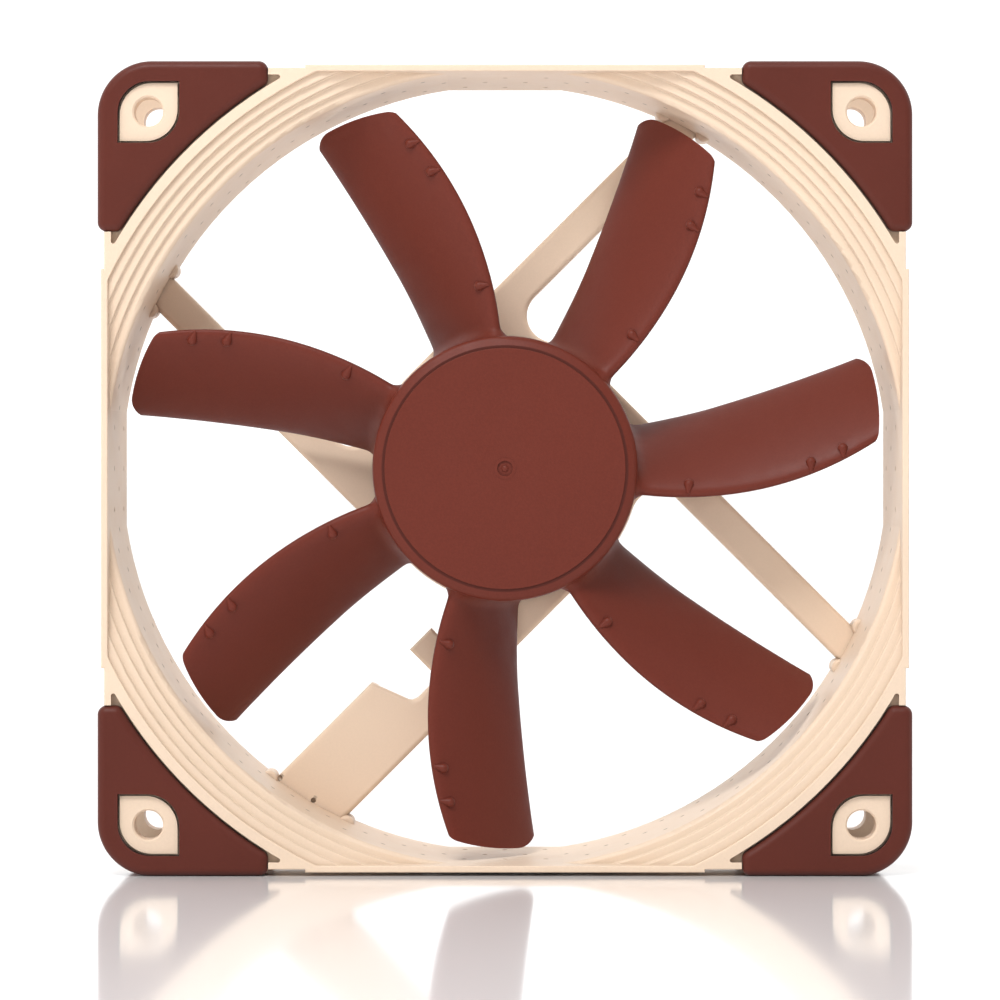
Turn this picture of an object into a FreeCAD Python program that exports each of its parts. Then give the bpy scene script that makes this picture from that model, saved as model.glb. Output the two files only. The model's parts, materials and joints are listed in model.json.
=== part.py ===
import FreeCAD, Part
import math
import os

# Case fan, 120 x 120 x 25 mm. Every shape is drawn with the fan's axis on Z and its intake facing +Z, and is
# stood upright at the end: the intake faces -Y, +Z is up and the origin is the middle of the fan.
# "Depth" is the distance behind the front face of the corner pads. Lengths are millimetres, angles degrees.

Vector = FreeCAD.Vector
AXIS = Vector(0, 0, 1)
CENTRE = Vector(0, 0, 0)
QUARTERS = (0, 90, 180, 270)
PAST = 1.0      # how far a cutting shape runs past the surface it cuts
OVERLAP = 0.5   # how far two shapes reach into each other where they are fused

# Whole fan
FAN_SIZE = 120.0
FAN_DEPTH = 25.0
HALF = FAN_SIZE / 2
HOLE_OFFSET = 105.0 / 2
HOLE_R = 2.15
HOLE_CHAMFER = 0.25

# Frame: flanges and duct
FACE_DEPTH = 0.5
REAR_DEPTH = FAN_DEPTH - FACE_DEPTH
FLANGE_HALF = 59.0
FLANGE_BACK = 5.0
FLANGE_CORNER_R = 7.0
BAR_HALF = 59.46
BAR_REACH = 29.4
WALL_R = 60.2
CLIP_FRONT = 58.5
CLIP_REAR = 57.55
INLET_R = 64.7
INLET_CORNER_R = 2.0
STEP_COUNT = 4
STEP_WIDTH = 1.37
STEP_RISE = 0.725
STEP_ROUNDING = 0.22
BORE_FRONT_R = 59.0
BORE_REAR_R = 58.15
EDGE_ROUNDING = 0.2

# Dimples in the duct wall
DIMPLE_DEPTHS = (9.0, 14.5, 20.5)
DIMPLES_PER_ROW = 60
DIMPLE_BALL_R = 0.5
DIMPLE_SINK = 0.2

# Corner pads and their seats
PAD_PLACES = ("top_right", "top_left", "bottom_left", "bottom_right")
PAD_END = 34.9
PAD_CORNER_R = 8.0
PAD_END_R = 1.35
PAD_ARC_R = 66.6
PAD_EDGE_R = 1.2
PAD_SKIRT_R = 0.3
PAD_GAP = 0.05
SEAT_DEPTH = 2.0
SEAT_ARC_R = 66.3
RIM_INSIDE = 58.0
POCKET_TIP_R = 0.35
LIP_INSIDE = 57.6
LIP_THICKNESS = 0.9
LEAF_LOW = 48.2
LEAF_HIGH = 56.7
LEAF_R = 4.7
LEAF_GAP = 0.3
LEAF_DEPTH = 0.7

# Struts, cable channel and motor base
STRUT_HEADINGS = (45, 135, 225, 315)
CHANNEL_HEADING = 225
STRUT_INSIDE = 15.2
STRUT_OUTSIDE = 20.3
STRUT_END_R = 59.4
STRUT_DRAWN_LENGTH = 62.0
STRUT_ROOT_R = 4.0
STRUT_EDGE_R = 0.8
STRUT_FRONT = 20.2
CHANNEL_SIDE = 8.65
CHANNEL_START = 37.2
CHANNEL_SHOULDER = 34.7
CHANNEL_START_ROUND = 0.4
CHANNEL_SHOULDER_ROUND = 1.5
CHANNEL_FLOOR = 1.25
CHANNEL_WALL = 1.1
CHANNEL_STRUT_WALL = 1.4
SLOT_START = 60.6
SLOT_END = 64.6
BASE_NOTCH_START = 18.2
HOOK_START = 25.0
HOOK_END = 29.6
HOOK_SIDE = 9.2
HOOK_THICKNESS = 1.3
HOOK_LIP = 0.9
HOOK_LIP_FRONT = 0.6
HOOK_LIP_DEPTH = 2.9
HOOK_EDGE_R = 0.5
ROOT_RIB_R = 1.2
ROOT_RIB_CENTRE_R = 58.8
ROOT_RIB_FRONT = 18.4
ROOT_RIB_OFFSET = 0.7
ROOT_RIB_EDGE_R = 0.5
BASE_R = STRUT_OUTSIDE
BASE_POCKET_R = 18.6
BASE_FLOOR_FRONT = 21.8
BOSS_R = 6.4
BOSS_FRONT = 16.4
LABEL_R = 17.4
LABEL_RECESS = 0.3
LABEL_THICKNESS = 0.15
LABEL_CLEARANCE = 0.2

# Bearing
TUBE_OUTER_R = 4.6
TUBE_INNER_R = 3.4
TUBE_FRONT = 6.2
TUBE_BACK = 22.8
SEAL_FRONT = 7.1
SEAL_THICKNESS = 0.6
SEAL_BORE_R = 1.6
SLEEVE_FRONT = 8.0
SLEEVE_BACK = 20.4
SHAFT_R = 1.5
SHAFT_CLEARANCE = 0.03
SHAFT_BACK = 21.55
THRUST_FRONT = 21.6
THRUST_THICKNESS = 0.5
GROOVE_FRONT = 20.75
GROOVE_WIDTH = 0.4
GROOVE_R = 1.15
CLIP_R = 2.5
CLIP_GAP = 1.0
CLIP_CLEARANCE = 0.04

# Rotor cup
HUB_FRONT = 1.75
HUB_BACK = 19.6
HUB_FACE_R = 17.8
HUB_GROOVE_WIDTH = 0.4
HUB_GROOVE_SINK = 0.18
HUB_FACE_ROUND = 0.08
HUB_CORNER_R = 19.52
HUB_CORNER_DEPTH = 2.43
HUB_CORNER_ROUND = 0.9
HUB_SHOULDER_R = 19.62
HUB_REAR_R = 20.0
HUB_REAR_ROUND = 0.3
HUB_ROUND_DEPTH = 3.3
HUB_TOP = 1.6
HUB_SEAM_ANGLE = 33.0
GATE_R = 1.15
GATE_RIM_R = 1.6
GATE_SINK = 0.22
GATE_RIM_RISE = 0.06
GATE_PIP_R = 0.68
GATE_PIP_RISE = 0.05
YOKE_R = 18.2
YOKE_WALL = 0.8
YOKE_BACK = 18.4
BUSH_R = 3.2
BUSH_FRONT = 2.55
BUSH_BACK = 5.4
SLINGER_FRONT = 6.45
SLINGER_THICKNESS = 0.3
SLINGER_R = 3.0
MAGNET_INNER_R = 15.6
MAGNET_FRONT = 7.0
MAGNET_BACK = 17.2

# Stator
COIL_NAMES = ("coil_right", "coil_top", "coil_left", "coil_bottom")
CORE_R = 15.2
CORE_FRONT = 9.0
CORE_BACK = 15.0
CORE_HUB_R = 6.9
CORE_SHOE_R = 12.9
CORE_SLOT_HALF = 1.1
NECK_HALF = 2.1
BOBBIN_WALL = 0.8
BOBBIN_SKIRT = 0.3
BOBBIN_HUB_RISE = 1.4
GUARD_R = 12.4
GUARD_WALL = 0.8
GUARD_RISE = 2.6
COIL_INNER_X = 7.2
COIL_OUTER_X = 11.3
COIL_BUILD = 2.1
COIL_RISE = 1.35
COIL_ROUND = 1.4
PIN_R = 12.85
PIN_HALF = 0.3
PIN_TURN = 24.0
PIN_BACK = 21.7

# Circuit board
BOARD_R = 18.1
BOARD_HOLE_R = 6.8
BOARD_FRONT = 20.6
BOARD_BACK = BASE_FLOOR_FRONT
BOARD_PIN_HOLE_R = 0.55
CHIP_CHAMFER = 0.08
DRIVER_SIZE = (4.0, 5.0, 1.2)
DRIVER_PLACE = (12.6, 330)
SENSOR_SIZE = (1.5, 3.0, 3.0)
SENSOR_PLACE = (16.0, 45)
CAPACITOR_SIZE = (2.0, 1.25, 0.9)
CAPACITOR_R = 11.4
CAPACITOR_ANGLES = (70, 88, 100, 250)
RESISTOR_SIZE = (1.6, 0.8, 0.45)
RESISTOR_R = 14.6
RESISTOR_ANGLES = (160, 172, 184, 298, 310)

# Blades. Angles are measured about the axis from +X, on the blade drawn beside +X. s runs from the leading
# edge (0) to the trailing edge (1).
BLADE_COUNT = 7
BLADE_ROOT_X = 17.9
BLADE_TIP_X = 58.6
SECTIONS = 21
SECTION_CROWDING = 0.2
SECTION_SPREAD_POWER = 2.5
ROOT_FLARE = 0.75
ROOT_FLARE_WIDTH = 0.6
SIDE_SPANS = 14
SECTION_HEADING = 7.0
ROOT_R = 20.5
SPAN = 34.5
LEAD_ROOT_ANGLE = -10.4
LEAD_SWEEP = 14.6
LEAD_SWEEP_POWER = 1.35
TRAIL_ANGLE = 16.1
TRAIL_FLARE_R = 32.0
TRAIL_ROOT_FLARE = 1.7
TRAIL_TIP_FLARE = 1.2
TRAIL_TIP_FLARE_POWER = 1.4
LEAD_ROOT_DEPTH = 4.2
LEAD_TIP_DEPTH = 4.9
TRAIL_ROOT_DEPTH = 18.0
TRAIL_TIP_DEPTH = 16.8
CAMBER_SHARE = 0.62
BLADE_ROOT_THICKNESS = 2.05
BLADE_TIP_THICKNESS = 1.45
LEAD_THICKENING = 0.15
TIP_LEAD_R = 55.3
TIP_TRAIL_R = 57.0
TIP_LEAD_ROUND = 3.0
TIP_TRAIL_ROUND = 2.4
TIP_BULGE = 0.35
TIP_MARGIN_ANGLE = 0.35
KNOB_RADII = (27.3, 45.3, 50.1)
KNOB_NOSE_INSET = 0.35
KNOB_TAIL_INSET = 1.8
KNOB_NOSE_R = 0.25
KNOB_TAIL_R = 0.75


# ---------------------------------------------------------------- drawing aids

def z_at(depth):
    """Height on the drawing's Z of a point at this depth."""
    return FAN_DEPTH / 2 - depth


def disc(radius, front, back):
    """Round plate on the axis between two depths."""
    return Part.makeCylinder(radius, back - front, Vector(0, 0, z_at(back)))


def ring(outer, inner, front, back):
    return disc(outer, front, back).cut(disc(inner, front, back))


def block(x_low, x_high, y_low, y_high, front, back):
    """Box between two depths."""
    return Part.makeBox(x_high - x_low, y_high - y_low, back - front, Vector(x_low, y_low, z_at(back)))


def turn(shape, angle):
    """Copy of a shape turned about the fan's axis."""
    copy = shape.copy()
    copy.rotate(CENTRE, AXIS, angle)
    return copy


def flip_to_rear(shape):
    """The same shape on the rear of the fan."""
    return shape.mirror(CENTRE, AXIS)


def around(shape, angles):
    return [turn(shape, angle) for angle in angles]


def corner_arc(before, corner, after, radius):
    """Start, middle and end of the arc that rounds one corner."""
    to_before = (before - corner).normalize()
    to_after = (after - corner).normalize()
    half_angle = to_before.getAngle(to_after) / 2
    inward = (to_before + to_after).normalize()
    start = corner + to_before * (radius / math.tan(half_angle))
    middle = corner + inward * (radius / math.sin(half_angle) - radius)
    end = corner + to_after * (radius / math.tan(half_angle))
    return start, middle, end


def rounded_path(corners, closed):
    """Edges through corners, each given as (point, rounding radius)."""
    count = len(corners)
    stops = []
    for i, (point, radius) in enumerate(corners):
        if radius:
            stops.append(corner_arc(corners[i - 1][0], point, corners[(i + 1) % count][0], radius))
        else:
            stops.append((point, None, point))
    edges = []
    for i, (start, middle, end) in enumerate(stops):
        if middle is not None:
            edges.append(Part.Arc(start, middle, end).toShape())
        if closed or i < count - 1:
            following = stops[(i + 1) % count][0]
            edges.append(Part.makeLine(end, following))
    return edges


def turned(profile):
    """Solid of revolution from a closed profile of (radius, depth, rounding)."""
    corners = [(Vector(radius, 0, z_at(depth)), rounding) for radius, depth, rounding in profile]
    face = Part.Face(Part.Wire(rounded_path(corners, True)))
    return face.revolve(CENTRE, AXIS, 360)


def plate(edges, front, back):
    """Flat plate from outline edges drawn at height 0."""
    face = Part.Face(Part.Wire(Part.__sortEdges__(edges)))
    face.translate(Vector(0, 0, z_at(back)))
    return face.extrude(Vector(0, 0, back - front))


def is_upright(edge):
    """Whether an edge runs along the axis."""
    first, last = edge.Vertexes[0].Point, edge.Vertexes[-1].Point
    return math.hypot(first.x - last.x, first.y - last.y) < 1e-6 and abs(first.z - last.z) > 1e-3


def upright_edges(shape):
    return [edge for edge in shape.Edges if is_upright(edge)]


def nearer_side(edge):
    """The smaller of an upright edge's X and Y."""
    return min(edge.Vertexes[0].X, edge.Vertexes[0].Y)


def edges_at(shape, depth):
    """Edges that lie flat at a depth."""
    height = z_at(depth)
    chosen = []
    for edge in shape.Edges:
        box = edge.BoundBox
        if abs(box.ZMin - height) < 1e-4 and abs(box.ZMax - height) < 1e-4:
            chosen.append(edge)
    return chosen


# ---------------------------------------------------------------- frame

def flange(front, back):
    """Square flange: its middle stretches stand proud, its corners step in to take the pads' skirts."""
    body = block(-FLANGE_HALF, FLANGE_HALF, -FLANGE_HALF, FLANGE_HALF, front, back)
    body = body.makeFillet(FLANGE_CORNER_R, upright_edges(body))
    for across, along in ((BAR_HALF, BAR_REACH), (BAR_REACH, BAR_HALF)):
        body = body.fuse(block(-across, across, -along, along, front, back))
    return body.removeSplitter()


def side_clip():
    """Tapered square that keeps the inlet and the bore inside the frame's straight sides."""
    front = Part.makePolygon(square_corners(CLIP_FRONT, 0))
    rear = Part.makePolygon(square_corners(CLIP_REAR, FAN_DEPTH))
    taper = Part.makeLoft([front, rear], True, True)
    cap = block(-CLIP_FRONT, CLIP_FRONT, -CLIP_FRONT, CLIP_FRONT, -1, 0)
    tail = block(-CLIP_REAR, CLIP_REAR, -CLIP_REAR, CLIP_REAR, FAN_DEPTH, FAN_DEPTH + 1)
    return taper.fuse([cap, tail])


def square_corners(half, depth):
    signs = ((-1, -1), (1, -1), (1, 1), (-1, 1), (-1, -1))
    return [Vector(sx * half, sy * half, z_at(depth)) for sx, sy in signs]


def inlet_mouth():
    """Outline of the first step, rounded where it runs into the straight sides."""
    mouth = disc(INLET_R, -1, FAN_DEPTH + 1)
    mouth = mouth.common(block(-CLIP_FRONT, CLIP_FRONT, -CLIP_FRONT, CLIP_FRONT, -1, FAN_DEPTH + 1))
    return mouth.makeFillet(INLET_CORNER_R, upright_edges(mouth))


def air_path():
    """Space of the stepped inlet and the slightly narrowing bore behind it."""
    profile = [(0, -1, 0), (INLET_R + 1, -1, 0), (INLET_R + 1, FACE_DEPTH + STEP_RISE, 0)]
    for step in range(1, STEP_COUNT):
        radius = INLET_R - step * STEP_WIDTH
        profile.append((radius, FACE_DEPTH + step * STEP_RISE, STEP_ROUNDING))
        profile.append((radius, FACE_DEPTH + (step + 1) * STEP_RISE, STEP_ROUNDING))
    last_floor = FACE_DEPTH + STEP_COUNT * STEP_RISE
    profile.append((BORE_FRONT_R, last_floor, STEP_ROUNDING * 3))
    profile.append((BORE_REAR_R, FAN_DEPTH + 1, 0))
    profile.append((0, FAN_DEPTH + 1, 0))
    return turned(profile).common(side_clip()).common(inlet_mouth())


def duct_shell():
    """Both flanges joined by the duct wall, hollowed by the air path, with its outer edges softened."""
    wall = disc(WALL_R, FACE_DEPTH, REAR_DEPTH)
    wall = wall.common(block(-BAR_HALF, BAR_HALF, -BAR_HALF, BAR_HALF, FACE_DEPTH, REAR_DEPTH))
    shell = wall.fuse([flange(FACE_DEPTH, FLANGE_BACK), flange(FAN_DEPTH - FLANGE_BACK, REAR_DEPTH)])
    shell = shell.removeSplitter().cut(air_path())
    face_edges = edges_at(shell, FACE_DEPTH) + edges_at(shell, REAR_DEPTH)
    return shell.makeFillet(EDGE_ROUNDING, face_edges)


def pad_seat():
    """Space sunk in the front face for the pad at +X +Y, with the pockets past the pad's two ends."""
    start = PAD_END - PAD_GAP
    seat = block(start, HALF + PAST, start, HALF + PAST, -PAST, SEAT_DEPTH)
    middle = disc(SEAT_ARC_R, -PAST, SEAT_DEPTH)
    pocket = block(BAR_REACH, RIM_INSIDE, BAR_REACH, RIM_INSIDE, -PAST, SEAT_DEPTH).cut(middle)
    tips = [edge for edge in upright_edges(pocket) if nearer_side(edge) < start]
    return seat.cut(middle).fuse(pocket.makeFillet(POCKET_TIP_R, tips))


def leaf(margin, front, back):
    """Leaf shape round the screw hole at +X +Y: a square with two opposite corners rounded."""
    low = LEAF_LOW - margin
    high = LEAF_HIGH + margin
    corners = [
        (Vector(low, low), LEAF_R),
        (Vector(high, low), 0),
        (Vector(high, high), LEAF_R),
        (Vector(low, high), 0),
    ]
    return plate(rounded_path(corners, True), front, back)


def screw_hole():
    """Hole through both flanges at +X +Y, with a small chamfer at each leaf's face."""
    middle = Vector(HOLE_OFFSET, HOLE_OFFSET, 0)
    hole = Part.makeCylinder(HOLE_R, FAN_DEPTH + 2, middle + Vector(0, 0, z_at(FAN_DEPTH + 1)))
    top = middle + Vector(0, 0, z_at(LEAF_DEPTH + HOLE_CHAMFER))
    chamfer = Part.makeCone(HOLE_R, HOLE_R + 2 * HOLE_CHAMFER, 2 * HOLE_CHAMFER, top)
    return hole.fuse([chamfer, flip_to_rear(chamfer)])


def strut_outline():
    """Outline of the motor base and its four struts, the one with the cable channel widened."""
    edges = []
    root_offset = STRUT_INSIDE - STRUT_ROOT_R
    root_u = math.sqrt((BASE_R + STRUT_ROOT_R) ** 2 - root_offset ** 2)
    root_angle = math.atan2(root_offset, root_u)
    root_end = Vector(math.cos(root_angle), math.sin(root_angle)) * BASE_R
    root_centre = Vector(root_u, root_offset)
    to_end = (root_end - root_centre).normalize()
    root_middle = root_centre + (to_end + Vector(0, 1)).normalize() * STRUT_ROOT_R
    base_middle = Vector(math.cos(root_angle / 2), math.sin(root_angle / 2)) * BASE_R
    for heading in STRUT_HEADINGS:
        path = [(Vector(0, STRUT_OUTSIDE), 0), (Vector(STRUT_DRAWN_LENGTH, STRUT_OUTSIDE), 0)]
        if heading == CHANNEL_HEADING:
            path.append((Vector(STRUT_DRAWN_LENGTH, CHANNEL_SIDE), 0))
            path.append((Vector(CHANNEL_START, CHANNEL_SIDE), CHANNEL_START_ROUND))
            path.append((Vector(CHANNEL_SHOULDER, STRUT_INSIDE), CHANNEL_SHOULDER_ROUND))
        else:
            path.append((Vector(STRUT_DRAWN_LENGTH, STRUT_INSIDE), 0))
        path.append((Vector(root_u, STRUT_INSIDE), 0))
        limb = rounded_path(path, False)
        limb.append(Part.Arc(Vector(root_u, STRUT_INSIDE), root_middle, root_end).toShape())
        limb.append(Part.Arc(root_end, base_middle, Vector(BASE_R, 0)).toShape())
        edges += turn(Part.makeCompound(limb), heading).Edges
    return edges


def strut_spider():
    """Motor base and struts, soft-edged, ending inside the duct wall."""
    spider = plate(strut_outline(), STRUT_FRONT, REAR_DEPTH)
    spider = spider.makeFillet(STRUT_EDGE_R, edges_at(spider, STRUT_FRONT))
    spider = spider.makeFillet(STRUT_EDGE_R / 2, edges_at(spider, REAR_DEPTH))
    return spider.common(disc(STRUT_END_R, STRUT_FRONT, REAR_DEPTH))


def cable_hook():
    """Small tab beside the channel strut, with a lip at its end that keeps the cable under it."""
    back = STRUT_FRONT + HOOK_THICKNESS
    tab = block(HOOK_START, HOOK_END, HOOK_SIDE, STRUT_INSIDE + OVERLAP, STRUT_FRONT, back)
    free_edges = [edge for edge in edges_at(tab, STRUT_FRONT) if edge.CenterOfMass.y < STRUT_INSIDE]
    tab = tab.makeFillet(HOOK_EDGE_R, free_edges)
    lip_front = STRUT_FRONT + HOOK_LIP_FRONT
    lip_back = STRUT_FRONT + HOOK_LIP_DEPTH
    lip = block(HOOK_START, HOOK_END, HOOK_SIDE, HOOK_SIDE + HOOK_LIP, lip_front, lip_back)
    return turn(tab.fuse(lip), CHANNEL_HEADING)


def cable_space():
    """Room for the cable: notch in the base, open channel in the wide strut, slot through the rear flange."""
    low = CHANNEL_SIDE + CHANNEL_WALL
    high = STRUT_INSIDE - CHANNEL_STRUT_WALL + CHANNEL_WALL
    floor = STRUT_FRONT + CHANNEL_FLOOR
    notch = block(BASE_NOTCH_START, BASE_R + 2, low, high, floor, FAN_DEPTH + 1)
    groove = block(CHANNEL_SHOULDER - 4, SLOT_END, low, high, floor, FAN_DEPTH + 1)
    slot = block(SLOT_START, SLOT_END, low, high, FAN_DEPTH - FLANGE_BACK - 1, FAN_DEPTH + 1)
    return turn(notch.fuse([groove, slot]), CHANNEL_HEADING)


def root_ribs():
    """Small upright ribs on the duct wall at both sides of each strut."""
    ribs = []
    for heading in STRUT_HEADINGS:
        inside = CHANNEL_SIDE if heading == CHANNEL_HEADING else STRUT_INSIDE
        for across in (inside - ROOT_RIB_OFFSET, STRUT_OUTSIDE + ROOT_RIB_OFFSET):
            along = math.sqrt(ROOT_RIB_CENTRE_R ** 2 - across ** 2)
            foot = Vector(along, across, z_at(REAR_DEPTH))
            rib = Part.makeCylinder(ROOT_RIB_R, REAR_DEPTH - ROOT_RIB_FRONT, foot)
            rib = rib.makeFillet(ROOT_RIB_EDGE_R, edges_at(rib, ROOT_RIB_FRONT))
            ribs.append(turn(rib.common(disc(STRUT_END_R, 0, FAN_DEPTH)), heading))
    return ribs


def wall_radius(angle, depth):
    """Distance from the axis to the duct wall, which is flat in the middle of each side."""
    bore = BORE_FRONT_R + (BORE_REAR_R - BORE_FRONT_R) * depth / FAN_DEPTH
    clip = CLIP_FRONT + (CLIP_REAR - CLIP_FRONT) * depth / FAN_DEPTH
    from_side = math.radians((angle + 45) % 90 - 45)
    return min(bore, clip / math.cos(from_side))


def dimples():
    """Three rows of shallow round dimples, the middle row staggered."""
    balls = []
    pitch = 360 / DIMPLES_PER_ROW
    for row, depth in enumerate(DIMPLE_DEPTHS):
        for i in range(DIMPLES_PER_ROW):
            angle = (i + row % 2 / 2) * pitch
            reach = wall_radius(angle, depth) + DIMPLE_SINK - DIMPLE_BALL_R
            balls.append(turn(Part.makeSphere(DIMPLE_BALL_R, Vector(reach, 0, z_at(depth))), angle))
    return Part.makeCompound(balls)


def motor_base_space():
    """Pocket for the circuit board round the bearing boss, and the sunk face for the label."""
    pocket = ring(BASE_POCKET_R, BOSS_R, STRUT_FRONT - PAST, BASE_FLOOR_FRONT)
    bore = disc(TUBE_OUTER_R, BOSS_FRONT - PAST, TUBE_BACK)
    label = disc(LABEL_R + LABEL_CLEARANCE, REAR_DEPTH - LABEL_RECESS, FAN_DEPTH + PAST)
    return [pocket, bore, label]


def make_frame():
    body = duct_shell()
    seats = around(pad_seat(), QUARTERS)
    seats += [flip_to_rear(seat) for seat in seats]
    leaves = around(leaf(0, LEAF_DEPTH, SEAT_DEPTH + OVERLAP), QUARTERS)
    leaves += [flip_to_rear(item) for item in leaves]
    body = body.cut(seats).fuse(leaves)
    body = body.fuse([strut_spider(), cable_hook()] + root_ribs())
    body = body.cut(around(screw_hole(), QUARTERS))
    body = body.cut([cable_space()] + motor_base_space())
    boss = ring(BOSS_R, TUBE_OUTER_R, BOSS_FRONT, BASE_FLOOR_FRONT + OVERLAP)
    return body.fuse(boss).removeSplitter().cut(dimples())


# ---------------------------------------------------------------- corner pads

def make_pad():
    """Soft pad at the front corner +X +Y: a capped plate whose skirt hooks behind the flange."""
    lip_back = FLANGE_BACK + PAD_GAP + LIP_THICKNESS
    body = block(PAD_END, HALF, PAD_END, HALF, 0, lip_back)
    body = body.cut(disc(PAD_ARC_R, -PAST, lip_back + PAST))
    corner = [edge for edge in upright_edges(body) if nearer_side(edge) > HALF - 1]
    body = body.makeFillet(PAD_CORNER_R, corner)
    ends = [edge for edge in upright_edges(body) if nearer_side(edge) < PAD_END + 1]
    body = body.makeFillet(PAD_END_R, ends)
    body = body.makeFillet(PAD_EDGE_R, edges_at(body, 0))
    body = body.makeFillet(PAD_SKIRT_R, edges_at(body, lip_back))
    room_half = FLANGE_HALF + PAD_GAP
    room_corner_r = FLANGE_CORNER_R + PAD_GAP
    edge_room = corner_block(room_half, room_corner_r, SEAT_DEPTH, FLANGE_BACK + PAD_GAP)
    lip_corner_r = FLANGE_CORNER_R - (FLANGE_HALF - LIP_INSIDE)
    inside_lip = corner_block(LIP_INSIDE, lip_corner_r, FLANGE_BACK, lip_back + PAST)
    return body.cut([edge_room, inside_lip, leaf(LEAF_GAP, -PAST, SEAT_DEPTH + OVERLAP)])


def corner_block(half, radius, front, back):
    """Block that fills the +X +Y corner out to a rounded corner."""
    body = block(0, half, 0, half, front, back)
    return body.makeFillet(radius, [edge for edge in upright_edges(body) if nearer_side(edge) > half - 1])


# ---------------------------------------------------------------- impeller

def lead_angle(radius):
    share = max(radius - ROOT_R, 0) / SPAN
    return LEAD_ROOT_ANGLE + LEAD_SWEEP * share ** LEAD_SWEEP_POWER


def trail_angle(radius):
    inward = max(TRAIL_FLARE_R - radius, 0) / (TRAIL_FLARE_R - ROOT_R)
    outward = max(radius - TRAIL_FLARE_R, 0) / (ROOT_R + SPAN - TRAIL_FLARE_R)
    return TRAIL_ANGLE + TRAIL_ROOT_FLARE * inward ** 2 + TRAIL_TIP_FLARE * outward ** TRAIL_TIP_FLARE_POWER


def along_span(root_value, tip_value, radius):
    return root_value + (tip_value - root_value) * (radius - ROOT_R) / SPAN


def camber_point(radius, s):
    """Angle and depth of the blade's middle surface."""
    angle = lead_angle(radius) + (trail_angle(radius) - lead_angle(radius)) * s
    rise = CAMBER_SHARE * s + (1 - CAMBER_SHARE) * s ** 2
    lead = along_span(LEAD_ROOT_DEPTH, LEAD_TIP_DEPTH, radius)
    trail = along_span(TRAIL_ROOT_DEPTH, TRAIL_TIP_DEPTH, radius)
    return angle, lead + (trail - lead) * rise


def blade_normal(radius, s):
    """Unit normal of the section, as (arc, depth), towards the intake side."""
    chord = math.radians(trail_angle(radius) - lead_angle(radius)) * radius
    lead = along_span(LEAD_ROOT_DEPTH, LEAD_TIP_DEPTH, radius)
    trail = along_span(TRAIL_ROOT_DEPTH, TRAIL_TIP_DEPTH, radius)
    slope = (trail - lead) * (CAMBER_SHARE + 2 * (1 - CAMBER_SHARE) * s)
    length = math.hypot(chord, slope)
    return slope / length, -chord / length


def even_width(phase):
    """Half-width round a section: nearly even, with round ends, positive on the intake side."""
    cosine = math.cos(phase)
    return math.sin(phase) * math.sqrt((1 + cosine ** 2) * (1 + cosine ** 4))


def half_thickness(radius, phase):
    full = along_span(BLADE_ROOT_THICKNESS, BLADE_TIP_THICKNESS, radius)
    taper = 1 + LEAD_THICKENING * math.cos(phase)
    return full / 2 * taper * even_width(phase)


def root_flare(radius):
    """How far the blade swells all round, close to the hub, to blend into it."""
    width = 2 * ROOT_FLARE_WIDTH ** 2
    inner = ROOT_FLARE_WIDTH * 0.8
    outside = radius - (HUB_SHOULDER_R + HUB_REAR_R) / 2
    return ROOT_FLARE * math.exp((inner ** 2 - (outside + inner) ** 2) / width)


def section_point(plane_x, phase):
    """Point where the blade's surface meets the plane X = plane_x of the blade's own heading."""
    cosine = math.cos(phase)
    s = (1 - cosine) / 2
    radius = plane_x
    for _ in range(8):
        angle, depth = camber_point(radius, s)
        arc_normal, depth_normal = blade_normal(radius, s)
        flare = root_flare(radius)
        offset = half_thickness(radius, phase) + flare * even_width(phase)
        overhang = -flare * cosine ** 3
        arc = offset * arc_normal - overhang * depth_normal
        turned_angle = math.radians(angle - SECTION_HEADING) + arc / radius
        radius = plane_x / math.cos(turned_angle)
    depth += offset * depth_normal + overhang * arc_normal
    return Vector(plane_x, radius * math.sin(turned_angle), z_at(depth))


def section_side(plane_x, first_phase):
    """One side of a section, from edge to edge."""
    phases = [first_phase + math.pi * i / SIDE_SPANS for i in range(SIDE_SPANS + 1)]
    curve = Part.BSplineCurve()
    curve.interpolate(Points=[section_point(plane_x, phase) for phase in phases], Parameters=phases)
    return curve.toShape()


def blade_section(plane_x):
    return Part.Wire([section_side(plane_x, 0), section_side(plane_x, math.pi)])


def polar(radius, angle):
    return Vector(radius * math.cos(math.radians(angle)), radius * math.sin(math.radians(angle)))


def stands_on(edge, point):
    """Whether an upright edge passes through a point of the front view."""
    foot = edge.Vertexes[0]
    return math.hypot(foot.X - point.x, foot.Y - point.y) < 0.01


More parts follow.
